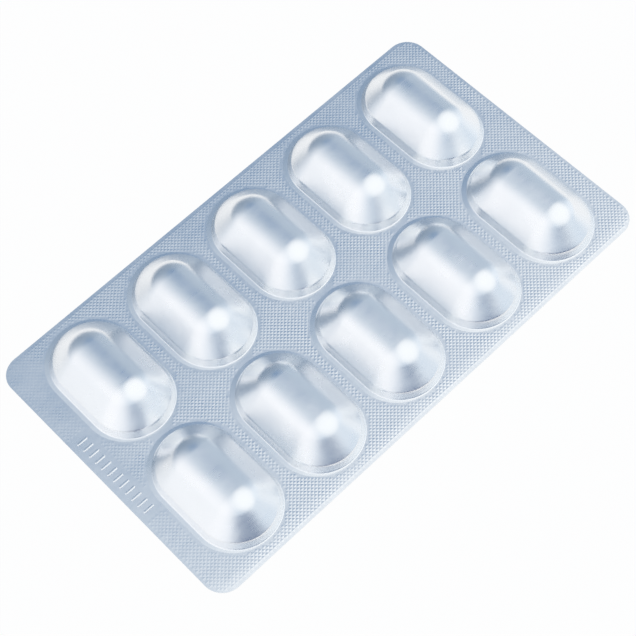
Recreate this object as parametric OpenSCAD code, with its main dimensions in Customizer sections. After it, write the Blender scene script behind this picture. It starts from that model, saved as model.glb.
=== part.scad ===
// Pill blister pack: a formed metal web with rows of domed pockets, sealed to a flat foil.
// The foil lies on z = 0, the long side runs along X, and the pockets stand up along Z.
// The origin is under the middle of the sealed edge. All sizes are in millimetres.

/* [Pocket outline] */
// Width of a pocket along X, where its wall meets the flange
pocket_w = 16.9; // [15:0.1:20]
// Length of a pocket along Y, where its wall meets the flange
pocket_l = 27.4; // [22:0.1:34]
// Number of pockets along X
columns = 5; // [1:1:8]
// Number of pockets along Y
rows = 2; // [1:1:4]

/* [Pocket form] */
// Height of a pocket's crown above the flange
pocket_h = 7.3; // [6.2:0.1:8.6]
// Radius of the hollow where the wall rises out of the flange
root_r = 0.6; // [0.3:0.05:1.2]
// Lean of the short wall above the hollow away from upright, in degrees
wall_lean = 20; // [12:1:28]
// Height above the flange at which the wall ends and the shoulder starts
wall_h = 2; // [1.2:0.1:2.8]
// Radius of the shoulder that turns the wall over into the flank
shoulder_r = 1.5; // [0.6:0.1:3]
// Lean of the flank between shoulder and crown away from upright, in degrees
flank_lean = 40; // [32:1:50]

/* [Flange] */
// Thickness of web and foil together, where they are sealed
flange_t = 0.3; // [0.15:0.05:0.8]
// Radius of the pack's four corners
corner_r = 4.3; // [1:0.1:6]
// Gap between neighbouring pockets of one row
column_gap = 3.8; // [2.4:0.1:8]
// Gap between neighbouring rows of pockets
row_gap = 2.6; // [2.4:0.1:8]
// Width of the flange at the plain end, +X
plain_end_w = 4; // [2.5:0.1:12]
// Width of the flange at the stamped end, -X
stamped_end_w = 6.3; // [5:0.1:14]
// Width of the flange along each long side
side_w = 2.95; // [2:0.05:12]

/* [Stamped bars] */
// Number of plain bars in the stamped row
bar_count = 12; // [2:1:14]
// Length of a bar along X
bar_l = 2.4; // [1:0.1:3]
// Width of a bar along Y
bar_w = 0.6; // [0.3:0.05:0.8]
// Distance from bar to bar
bar_pitch = 1.7; // [1.2:0.1:2]
// Height of a bar above the flange
bar_h = 0.15; // [0.05:0.05:0.4]
// Distance from the pack's end to the middle of the bars
bar_inset = 2.5; // [2:0.1:3]

/* [Hidden] */

$fn = 96;
web_colour = "silver";

// Largest turn, in degrees, between two neighbouring facets of a profile's arcs
arc_step = 6;

// The flange grows with the block of pockets that it frames
column_pitch = pocket_w + column_gap;
row_pitch = pocket_l + row_gap;
block_l = columns * pocket_w + (columns - 1) * column_gap;
block_w = rows * pocket_l + (rows - 1) * row_gap;
pack_l = stamped_end_w + block_l + plain_end_w;
pack_w = side_w + block_w + side_w;

// The first pocket's middle, from the pack's middle
first_x = -pack_l / 2 + stamped_end_w + pocket_w / 2;
first_y = -pack_w / 2 + side_w + pocket_l / 2;

// A pocket is straight between the centres of its two round ends
pocket_r = pocket_w / 2;
straight_l = pocket_l - pocket_w;

// A pocket's section has x out from its axis and y up from the flange.
// The wall leans in from (pocket_r, 0) up to wall_top, and the flank starts at flank_foot.
// wall_out and flank_out point straight out of them.
wall_out = [cos(wall_lean), sin(wall_lean)];
wall_top = [pocket_r - wall_h * tan(wall_lean), wall_h];
flank_out = [cos(flank_lean), sin(flank_lean)];

// The root's arc touches the flange and the wall from outside.
root_c = [pocket_r + root_r * (1 - sin(wall_lean)) / cos(wall_lean), root_r];

// The shoulder's arc touches the wall at its top and the flank at its foot.
shoulder_c = wall_top - shoulder_r * wall_out;
flank_foot = shoulder_c + shoulder_r * flank_out;

// The crown's arc has its centre on the axis, passes through the crown's top and touches
// the flank, which sets its radius.
crown_r = (flank_foot * flank_out - pocket_h * sin(flank_lean)) / (1 - sin(flank_lean));
crown_c = [0, pocket_h - crown_r];

// Depth to which pockets and bars are let into the flange
let_in = flange_t / 2;

// Points along an arc about c, from one angle to another
function arc(c, r, from, to) =
    let (steps = ceil(abs(to - from) / arc_step))
    [for (i = [0 : steps]) let (a = from + (to - from) * i / steps) c + r * [cos(a), sin(a)]];

// Half of a pocket's section: crown, flank, shoulder, wall and root, from the axis out
module pocket_half() {
    polygon(concat(
        [[0, -let_in]],
        arc(crown_c, crown_r, 90, flank_lean),
        arc(shoulder_c, shoulder_r, flank_lean, wall_lean),
        arc(root_c, root_r, 180 + wall_lean, 270),
        [[root_c[0], -let_in]]
    ));
}

// One pocket: a straight middle between two turned ends
module pocket() {
    rotate([90, 0, 0]) linear_extrude(height = straight_l, center = true) {
        pocket_half();
        mirror([1, 0]) pocket_half();
    }
    for (side = [0, 1])
        mirror([0, side, 0]) translate([0, straight_l / 2, 0])
            rotate_extrude(angle = 180) pocket_half();
}

module pockets() {
    for (i = [0 : columns - 1], j = [0 : rows - 1])
        translate([first_x + i * column_pitch, first_y + j * row_pitch, flange_t]) pocket();
}

module flange() {
    inner_l = pack_l - 2 * corner_r;
    inner_w = pack_w - 2 * corner_r;
    linear_extrude(height = flange_t) {
        square([pack_l, inner_w], center = true);
        square([inner_l, pack_w], center = true);
        for (x = [-1, 1], y = [-1, 1])
            translate([x * inner_l / 2, y * inner_w / 2]) circle(r = corner_r);
    }
}

// A plain bar with round ends, pressed up out of the flange
module stamped_bar() {
    linear_extrude(height = let_in + bar_h) {
        square([bar_l - bar_w, bar_w], center = true);
        for (x = [-1, 1]) translate([x * (bar_l - bar_w) / 2, 0]) circle(r = bar_w / 2);
    }
}

module stamped_bars() {
    bar_x = -pack_l / 2 + bar_inset;
    for (i = [0 : bar_count - 1])
        translate([bar_x, (i - (bar_count - 1) / 2) * bar_pitch, flange_t - let_in]) stamped_bar();
}

module blister_pack() {
    color(web_colour) union() {
        flange();
        pockets();
        stamped_bars();
    }
}

blister_pack();
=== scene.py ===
import math

import bmesh
import bpy
from mathutils import Matrix, Vector, noise


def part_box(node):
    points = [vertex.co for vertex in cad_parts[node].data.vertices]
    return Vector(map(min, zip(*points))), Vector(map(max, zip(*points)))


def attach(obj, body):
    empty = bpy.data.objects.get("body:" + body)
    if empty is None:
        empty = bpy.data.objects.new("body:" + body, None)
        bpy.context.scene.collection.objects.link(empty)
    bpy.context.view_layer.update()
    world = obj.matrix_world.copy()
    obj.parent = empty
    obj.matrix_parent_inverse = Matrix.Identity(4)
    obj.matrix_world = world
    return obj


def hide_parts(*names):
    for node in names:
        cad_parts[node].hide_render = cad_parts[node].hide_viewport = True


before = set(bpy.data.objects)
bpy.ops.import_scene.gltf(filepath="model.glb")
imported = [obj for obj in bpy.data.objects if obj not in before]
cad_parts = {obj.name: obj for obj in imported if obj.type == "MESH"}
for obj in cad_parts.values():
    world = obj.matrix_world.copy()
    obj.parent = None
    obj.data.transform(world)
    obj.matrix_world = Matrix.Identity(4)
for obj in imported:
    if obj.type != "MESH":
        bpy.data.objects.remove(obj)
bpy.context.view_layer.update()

# Formed web: one sheet of cold-formed aluminium laminate, pressed cold over a punch, so each
# tablet gets a deep pocket with a leaning wall and a domed crown. Heated knurled plates then
# seal it to the foil underneath, and leave their knurl in the flat flange round the pockets.
# Lengths are in millimetres, and MM makes them metres.
MM = 0.001
web_low, web_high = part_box("blister_pack")
pack_l = (web_high.x - web_low.x) / MM
pack_w = (web_high.y - web_low.y) / MM
flange_z = 0.3
foil_t = 0.05
corner_r = 4.3
columns, rows = 5, 2
pocket_w, pocket_l = 16.9, 27.4
column_gap, row_gap = 3.8, 2.6
stamped_end_w, side_w = 6.3, 2.95
row_slip = (-0.5, 0)
pocket_h = 7.27
flank_lean = math.radians(43)
wall_lean = math.radians(20)
wall_h = 1.4
shoulder_r = 1.5
foot_r = 0.25
pocket_turns, pocket_runs = 56, 10
corner_steps = 14
opening_r = pocket_w / 2 + 0.65
plate_slip = Vector((-0.3, 0.38))
collar_bow = 0.2
collar_fade = 1
knurl_pitch = 0.65
knurl_depth = 0.03
knurl_rim, knurl_clear = 0.2, 0.04
first_press, full_press_off = 0.55, 1.5
end_press, end_press_w, end_press_run = 0.45, 5, 6
press_wander, press_span = 0.3, 7
edge_step = 0.45
near_drop, far_drop = 0.1, 0.02
dent, dent_span, dent_fade = 0.03, 4.5, 2
dent_seed = 5

column_pitch = pocket_w + column_gap
row_pitch = pocket_l + row_gap
half_spine = (pocket_l - pocket_w) / 2
first_x = -pack_l / 2 + stamped_end_w + pocket_w / 2
first_y = -pack_w / 2 + side_w + pocket_l / 2
pocket_places = [Vector((first_x + i * column_pitch + row_slip[j], first_y + j * row_pitch))
                 for j in range(rows) for i in range(columns)]


def arc(centre, radius, start, end, step=math.radians(5)):
    """Points of an arc, from one angle to another, in the plane of a section."""
    steps = max(1, math.ceil(abs(end - start) / step))
    angles = [start + (end - start) * i / steps for i in range(steps + 1)]
    return [Vector(centre) + radius * Vector((math.cos(a), math.sin(a))) for a in angles]


def pocket_section():
    """Half a pocket's section from its axis outwards: crown, flank, shoulder, wall and foot."""
    radius = pocket_w / 2
    quarter = math.pi / 2
    top = Vector((radius - wall_h * math.tan(wall_lean), wall_h))
    shoulder = top - shoulder_r * Vector((math.cos(wall_lean), math.sin(wall_lean)))
    knee = shoulder + shoulder_r * Vector((math.cos(flank_lean), math.sin(flank_lean)))
    reach = knee.x / math.tan(flank_lean) + knee.y - pocket_h
    crown_r = reach * math.sin(flank_lean) / (1 - math.sin(flank_lean))
    foot = (radius + foot_r * (1 - math.sin(wall_lean)) / math.cos(wall_lean), foot_r)
    section = arc((0, pocket_h - crown_r), crown_r, quarter, flank_lean, math.radians(3))
    flank_top = section[-1]
    section += [flank_top.lerp(knee, s) for s in (0.25, 0.5, 0.75)]
    section += arc(shoulder, shoulder_r, flank_lean, wall_lean)
    wall_top = section[-1]
    foot_arc = arc(foot, foot_r, math.pi + wall_lean, 3 * quarter, math.radians(12))
    section += [wall_top.lerp(foot_arc[0], s) for s in (0.25, 0.5, 0.75)]
    return section + foot_arc


def raised_form(section, half_spine, turns, runs):
    """A form with two round ends: the section turned half round each end of a spine along Y,
    and drawn along the straight between them."""
    form = bmesh.new()
    points = [form.verts.new((p.x, half_spine, p.y)) for p in section]
    lead = [form.edges.new(pair) for pair in zip(points, points[1:])]
    for end in (half_spine, -half_spine):
        turned = bmesh.ops.spin(form, geom=lead, cent=(0, end, 0), axis=(0, 0, 1),
                                angle=math.pi, steps=turns)
        lead = [e for e in turned["geom_last"] if isinstance(e, bmesh.types.BMEdge)]
        for _ in range(runs):
            drawn = bmesh.ops.extrude_edge_only(form, edges=lead)["geom"]
            fresh = {v for v in drawn if isinstance(v, bmesh.types.BMVert)}
            lead = [e for e in drawn
                    if isinstance(e, bmesh.types.BMEdge) and fresh.issuperset(e.verts)]
            bmesh.ops.translate(form, vec=(0, -2 * end / runs, 0), verts=list(fresh))
    bmesh.ops.remove_doubles(form, verts=form.verts, dist=0.001)
    for f in form.faces:
        f.smooth = True
    mesh = bpy.data.meshes.new("form")
    form.to_mesh(mesh)
    form.free()
    return mesh


def place_form(bm, mesh, place):
    """Adds a copy of a form at its place, and returns its vertices."""
    known = set(bm.verts)
    bm.from_mesh(mesh)
    fresh = [v for v in bm.verts if v not in known]
    bmesh.ops.translate(bm, vec=place, verts=fresh)
    return fresh


def off_spine(x, y, middle, half):
    """Distance of a point from a spine along Y."""
    return math.hypot(x - middle.x, max(abs(y - middle.y) - half, 0))


def inside_opening(x, y):
    """How far a point is inside the plate's opening round the nearest pocket. An opening is
    wider than its pocket and sits a little off it. Negative outside the openings."""
    return opening_r - min(off_spine(x, y, middle + plate_slip, half_spine)
                           for middle in pocket_places)


def outside_outline(x, y):
    """Distance of a point beyond the pack's rounded outline, negative inside it."""
    dx = abs(x) - (pack_l / 2 - corner_r)
    dy = abs(y) - (pack_w / 2 - corner_r)
    return math.hypot(max(dx, 0), max(dy, 0)) + min(max(dx, dy), 0) - corner_r


def knurl(bm, covers, height):
    """A field of fine pyramids in a square lattice turned 45 degrees. Of a point, covers says
    whether the field goes there, and height how far a pyramid stands out there."""
    cells = 2 * math.ceil((pack_l + pack_w) / math.sqrt(8) / knurl_pitch)
    bmesh.ops.create_grid(bm, x_segments=cells, y_segments=cells, size=cells * knurl_pitch / 2,
                          matrix=Matrix.Rotation(math.pi / 4, 4, "Z"))
    spare = [v for v in bm.verts if not covers(v.co.x, v.co.y)]
    while spare:
        bmesh.ops.delete(bm, geom=spare, context="VERTS")
        spare = [v for v in bm.verts
                 if not v.link_faces or sum(e.is_boundary for e in v.link_edges) > 2]
    for tip in bmesh.ops.poke(bm, faces=bm.faces)["verts"]:
        tip.co.z = height(tip.co.x, tip.co.y)


def close_sheet(bm, front_z, back_z):
    """Fills all that is still open between the lattice, the forms in it and the cut outline,
    and closes the sheet with its edge and its flat other side."""
    half_l, half_w = pack_l / 2, pack_w / 2
    corners = [bm.verts.new((x, y, front_z)) for x, y in
               ((half_l, half_w), (-half_l, half_w), (-half_l, -half_w), (half_l, -half_w))]
    known = set(bm.faces)
    bm.faces.new(corners)
    bmesh.ops.bevel(bm, geom=corners, offset=corner_r, segments=corner_steps, profile=0.5,
                    affect="VERTICES", material=-1)
    blank = [f for f in bm.faces if f not in known]
    for edge in list(blank[0].edges):
        cuts = round(edge.calc_length() / edge_step) - 1
        if cuts > 0:
            bmesh.ops.subdivide_edges(bm, edges=[edge], cuts=cuts)
    outline = list(blank[0].edges)
    bmesh.ops.delete(bm, geom=blank, context="FACES_ONLY")
    bmesh.ops.triangle_fill(bm, use_beauty=True, normal=(0, 0, 1),
                            edges=[e for e in bm.edges if e.is_boundary or e.is_wire])
    edge = bmesh.ops.extrude_edge_only(bm, edges=outline)["geom"]
    fresh = {v for v in edge if isinstance(v, bmesh.types.BMVert)}
    bmesh.ops.translate(bm, vec=(0, 0, back_z - front_z), verts=list(fresh))
    bmesh.ops.edgeloop_fill(bm, edges=[e for e in edge if isinstance(e, bmesh.types.BMEdge)
                                       and fresh.issuperset(e.verts)])
    bmesh.ops.recalc_face_normals(bm, faces=bm.faces)


def add_collar(bm, foot, middle):
    """The unsealed collar between a pocket's foot and the edge of the plate's opening."""
    rim = {e for v in foot for e in v.link_edges if e.is_boundary}
    skirt = bmesh.ops.extrude_edge_only(bm, edges=list(rim))["geom"]
    for v in (part for part in skirt if isinstance(part, bmesh.types.BMVert)):
        along = max(-half_spine, min(half_spine, v.co.y - middle.y))
        spine = middle + Vector((0, along))
        place = spine + plate_slip + (v.co.xy - spine).normalized() * opening_r
        v.co = place.to_3d()
    for f in (part for part in skirt if isinstance(part, bmesh.types.BMFace)):
        f.smooth = True
    for e in rim:
        e.smooth = False


bar_count, bar_pitch = 12, 1.7
bar_l, bar_w, bar_h = 2.4, 0.6, 0.15
bar_inset = 2.5
bar_shares = ((0, 1), (0.4, 1), (0.67, 0.87), (0.9, 0.33), (1, 0))
stamp_margin_x, stamp_margin_y = 0.4, 1.15
bar_x = -pack_l / 2 + bar_inset


def sealed_and_knurled(x, y):
    """Whether the knurl covers a point: not the rim, a plate opening or the stamped field."""
    over_bars = abs(x - bar_x) < bar_l / 2 + stamp_margin_x
    over_row = abs(y) < ((bar_count - 1) * bar_pitch + bar_w) / 2 + stamp_margin_y
    sealed = outside_outline(x, y) < -knurl_rim and inside_opening(x, y) < -knurl_clear
    return sealed and not (over_bars and over_row)


def knurl_height(x, y):
    """Height of a pyramid: the plate presses less near an opening and at the stamped end."""
    off_opening = min(-inside_opening(x, y) / full_press_off, 1)
    off_end = min(max((x + pack_l / 2 - end_press_w) / end_press_run, 0), 1)
    press = (first_press + (1 - first_press) * off_opening) * (end_press + (1 - end_press) * off_end)
    return knurl_depth * press * (1 + press_wander * noise.noise(Vector((x, y, 3)) / press_span))


noise.seed_set(dent_seed)
web = bmesh.new()
knurl(web, sealed_and_knurled, knurl_height)
pocket = raised_form(pocket_section(), half_spine, pocket_turns, pocket_runs)
for middle in pocket_places:
    skin = place_form(web, pocket, (middle.x, middle.y, 0))
    foot = [v for v in skin if any(e.is_boundary for e in v.link_edges)]
    for v in skin:
        rise = v.co.z
        v.co += noise.noise_vector(v.co / dent_span) * dent * min(rise / dent_fade, 1)
        lift = collar_bow * max(inside_opening(v.co.x, v.co.y), 0) ** 2
        v.co.z += lift * max(1 - rise / collar_fade, 0)
    add_collar(web, foot, middle)
bar_section = [Vector((across * bar_w / 2, up * bar_h)) for across, up in bar_shares]
bar = raised_form(bar_section, (bar_l - bar_w) / 2, 8, 1)
bar.transform(Matrix.Rotation(math.pi / 2, 4, "Z"))
for i in range(bar_count):
    place_form(web, bar, (bar_x, (i - (bar_count - 1) / 2) * bar_pitch, 0))
close_sheet(web, 0, foil_t - flange_z)
on_top = [v for v in web.verts if v.co.z > -foil_t]
for v in on_top:
    drop = far_drop + (near_drop - far_drop) * (0.5 - v.co.y / pack_w)
    v.co.z -= drop * max(1 + outside_outline(v.co.x, v.co.y) / side_w, 0) ** 2
bmesh.ops.translate(web, vec=(0, 0, flange_z), verts=web.verts)
bmesh.ops.scale(web, vec=(MM, MM, MM), verts=web.verts)
web_mesh = bpy.data.meshes.new("formed_web")
web.to_mesh(web_mesh)
web.free()
formed_web = bpy.data.objects.new("formed_web", web_mesh)
bpy.context.scene.collection.objects.link(formed_web)


def linear(hex_colour):
    """An sRGB hex colour as the linear colour that a shader takes."""
    shares = [int(hex_colour[i:i + 2], 16) / 255 for i in (1, 3, 5)]
    return [s / 12.92 if s <= 0.04045 else ((s + 0.055) / 1.055) ** 2.4 for s in shares] + [1]


def add(tree, kind, settings=None, links=None):
    """Adds a node, sets its inputs or properties by name, and links outputs into its inputs."""
    node = tree.nodes.new(kind)
    for name, value in (settings or {}).items():
        if isinstance(name, str) and name not in node.inputs:
            setattr(node, name, value)
        else:
            node.inputs[name].default_value = value
    for name, socket in (links or {}).items():
        tree.links.new(socket, node.inputs[name])
    return node


def rolled_metal(name, colour, low, high):
    """A satin rolled metal: its gloss wanders softly, with faint streaks along the rolling
    direction, X, and a ripple hardly deeper than the rolls leave."""
    cloud_w, streak_w, ripple_w = 6, 0.35, 2
    streak_stretch = (0.03, 1, 1)
    ripple_h, streak_h = 0.02, 0.001
    material = bpy.data.materials.new(name)
    material.use_nodes = True
    tree = material.node_tree
    tree.nodes.clear()
    place = add(tree, "ShaderNodeTexCoord")
    mm = add(tree, "ShaderNodeVectorMath", {"operation": "SCALE", "Scale": 1 / MM},
             {0: place.outputs["Object"]})
    drawn_out = add(tree, "ShaderNodeVectorMath", {"operation": "MULTIPLY", 1: streak_stretch},
                    {0: mm.outputs[0]})
    clouds = add(tree, "ShaderNodeTexNoise", {"Scale": 1 / cloud_w, "Detail": 3.0},
                 {"Vector": mm.outputs[0]})
    streaks = add(tree, "ShaderNodeTexNoise", {"Scale": 1 / streak_w, "Detail": 2.0},
                  {"Vector": drawn_out.outputs[0]})
    ripple = add(tree, "ShaderNodeTexNoise", {"Scale": 1 / ripple_w, "Detail": 1.0},
                 {"Vector": mm.outputs[0]})
    wear = add(tree, "ShaderNodeMath", {"operation": "MULTIPLY_ADD", 1: 0.4},
               {0: streaks.outputs[0], 2: clouds.outputs[0]})
    gloss = add(tree, "ShaderNodeMapRange",
                {"From Min": 0.5, "From Max": 0.9, "To Min": low, "To Max": high},
                {"Value": wear.outputs[0]})
    uneven = add(tree, "ShaderNodeBump", {"Distance": ripple_h * MM}, {"Height": ripple.outputs[0]})
    lines = add(tree, "ShaderNodeBump", {"Distance": streak_h * MM},
                {"Height": streaks.outputs[0], "Normal": uneven.outputs[0]})
    shader = add(tree, "ShaderNodeBsdfPrincipled", {"Base Color": linear(colour), "Metallic": 1.0},
                 {"Roughness": gloss.outputs[0], "Normal": lines.outputs[0]})
    add(tree, "ShaderNodeOutputMaterial", links={"Surface": shader.outputs["BSDF"]})
    return material


# Bright but soft: broad reflections with blurred edges, as of a window in brushed metal.
web_mesh.materials.append(rolled_metal("satin_aluminium_laminate", "#f4f6f8", 0.26, 0.34))
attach(formed_web, "root")
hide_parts("blister_pack")

# Lidding foil: a flat sheet of hard aluminium foil that closes the pockets from behind. The
# lower sealing plate leaves its knurl in it wherever it is sealed to the web, and behind the
# pockets it stays plain.
imprint_depth = 0.02
imprint_clear = 0.12
imprint_mean, imprint_wander, imprint_span = 0.8, 0.6, 9


def sealed_behind(x, y):
    """Whether the lower plate's knurl covers a point of the lidding foil."""
    return outside_outline(x, y) < -knurl_rim and inside_opening(x, y) < -imprint_clear


def imprint(x, y):
    """Depth of a pyramid's hollow in the lidding foil."""
    wander = imprint_wander * noise.noise(Vector((x, y, 9)) / imprint_span)
    return imprint_depth * (imprint_mean + wander)


lid = bmesh.new()
knurl(lid, sealed_behind, imprint)
close_sheet(lid, 0, foil_t)
bmesh.ops.scale(lid, vec=(MM, MM, MM), verts=lid.verts)
lid_mesh = bpy.data.meshes.new("lidding_foil")
lid.to_mesh(lid_mesh)
lid.free()
lidding_foil = bpy.data.objects.new("lidding_foil", lid_mesh)
bpy.context.scene.collection.objects.link(lidding_foil)

# Plain foil metal, a little brighter and glossier than the laminate.
lid_mesh.materials.append(rolled_metal("hard_aluminium_foil", "#f2f3f4", 0.2, 0.3))
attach(lidding_foil, "root")
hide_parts("blister_pack")

# Studio floor: a wide sheet of white paper just under the pack. It takes the pack's shadow, and
# it shows white to the camera and in the metal.
floor_r = 3
floor_gap = 0.05
paper_glow = 0.95
bpy.ops.mesh.primitive_circle_add(vertices=96, radius=floor_r, fill_type="NGON",
                                  location=(0, 0, -floor_gap * MM))
floor = bpy.context.object
floor.name = "floor"
paper = bpy.data.materials.new("white_paper")
paper.use_nodes = True
tree = paper.node_tree
tree.nodes.clear()
sheet = add(tree, "ShaderNodeBsdfDiffuse", {"Color": linear("#f4f4f4")})
glow = add(tree, "ShaderNodeEmission", {"Color": (1, 1, 1, 1), "Strength": 1.0})
rays = add(tree, "ShaderNodeLightPath")
seen = rays.outputs["Is Camera Ray"]
for kind in ("Is Glossy Ray", "Is Transmission Ray"):
    either = add(tree, "ShaderNodeMath", {"operation": "MAXIMUM"}, {0: seen, 1: rays.outputs[kind]})
    seen = either.outputs[0]
share = add(tree, "ShaderNodeMath", {"operation": "MULTIPLY", 1: paper_glow}, {0: seen})
mix = add(tree, "ShaderNodeMixShader",
          links={0: share.outputs[0], 1: sheet.outputs[0], 2: glow.outputs[0]})
add(tree, "ShaderNodeOutputMaterial", links={"Surface": mix.outputs[0]})
floor.data.materials.append(paper)

# Camera: steeply above the pack's near left corner, with a long lens, as the corners of the
# pack in the photograph give it.
camera_data = bpy.data.cameras.new("camera")
camera = bpy.data.objects.new("camera", camera_data)
bpy.context.scene.collection.objects.link(camera)
camera_data.sensor_width = 36
camera_data.lens = 95.35
camera_place = Vector((-96.83, -120.59, 283.62)) * MM
camera_aim = Vector((-3.97, -2.98, 0)) * MM
camera_roll = math.radians(-6.28)
turn = (camera_aim - camera_place).to_track_quat("-Z", "Y").to_matrix().to_4x4()
camera.matrix_world = Matrix.Translation(camera_place) @ turn @ Matrix.Rotation(camera_roll, 4, "Z")
bpy.context.scene.camera = camera

# Studio: pale blue walls, a large white screen at the left and another above the near side, a
# slate wall behind and a dark one low at the near side, as one soft surround without hard lamps.
world = bpy.data.worlds.new("studio")
bpy.context.scene.world = world
world.use_nodes = True
tree = world.node_tree
tree.nodes.clear()
way = add(tree, "ShaderNodeTexCoord")
pale_walls = add(tree, "ShaderNodeRGB")
pale_walls.outputs[0].default_value = linear("#cad8e6")


def screen(under, azimuth, elevation, inner, outer, colour):
    """Paints a soft round screen over the surround: full within the inner angle from its middle,
    gone at the outer one. Its middle's azimuth is counted from +X. Angles are in degrees."""
    a, e = math.radians(azimuth), math.radians(elevation)
    facing = (math.cos(a) * math.cos(e), math.sin(a) * math.cos(e), math.sin(e))
    dot = add(tree, "ShaderNodeVectorMath", {"operation": "DOT_PRODUCT", 1: facing},
              {0: way.outputs["Generated"]})
    angle = add(tree, "ShaderNodeMath", {"operation": "ARCCOSINE"}, {0: dot.outputs["Value"]})
    share = add(tree, "ShaderNodeMapRange",
                {"From Min": math.radians(outer), "From Max": math.radians(inner),
                 "interpolation_type": "SMOOTHSTEP"}, {"Value": angle.outputs[0]})
    mixed = add(tree, "ShaderNodeMix", {"data_type": "RGBA", 7: linear(colour)},
                {0: share.outputs["Result"], 6: under})
    return mixed.outputs[2]


paint = screen(pale_walls.outputs[0], 76, 17, 0, 97, "#8999ab")
paint = screen(paint, 54, 52, 4, 28, "#6e8bac")
paint = screen(paint, 95, -8, 16, 50, "#7d8fa3")
paint = screen(paint, 175, 29, 14, 66, "#fdfdff")
paint = screen(paint, -53, 59, 32, 50, "#fcfeff")
paint = screen(paint, -15, 5, 12, 28, "#e8f0f8")
paint = screen(paint, 250, -28, 44, 54, "#33507a")
backdrop = add(tree, "ShaderNodeBackground", {"Strength": 1.1}, {"Color": paint})
add(tree, "ShaderNodeOutputWorld", links={"Surface": backdrop.outputs[0]})

bpy.context.scene.view_settings.view_transform = "Standard"
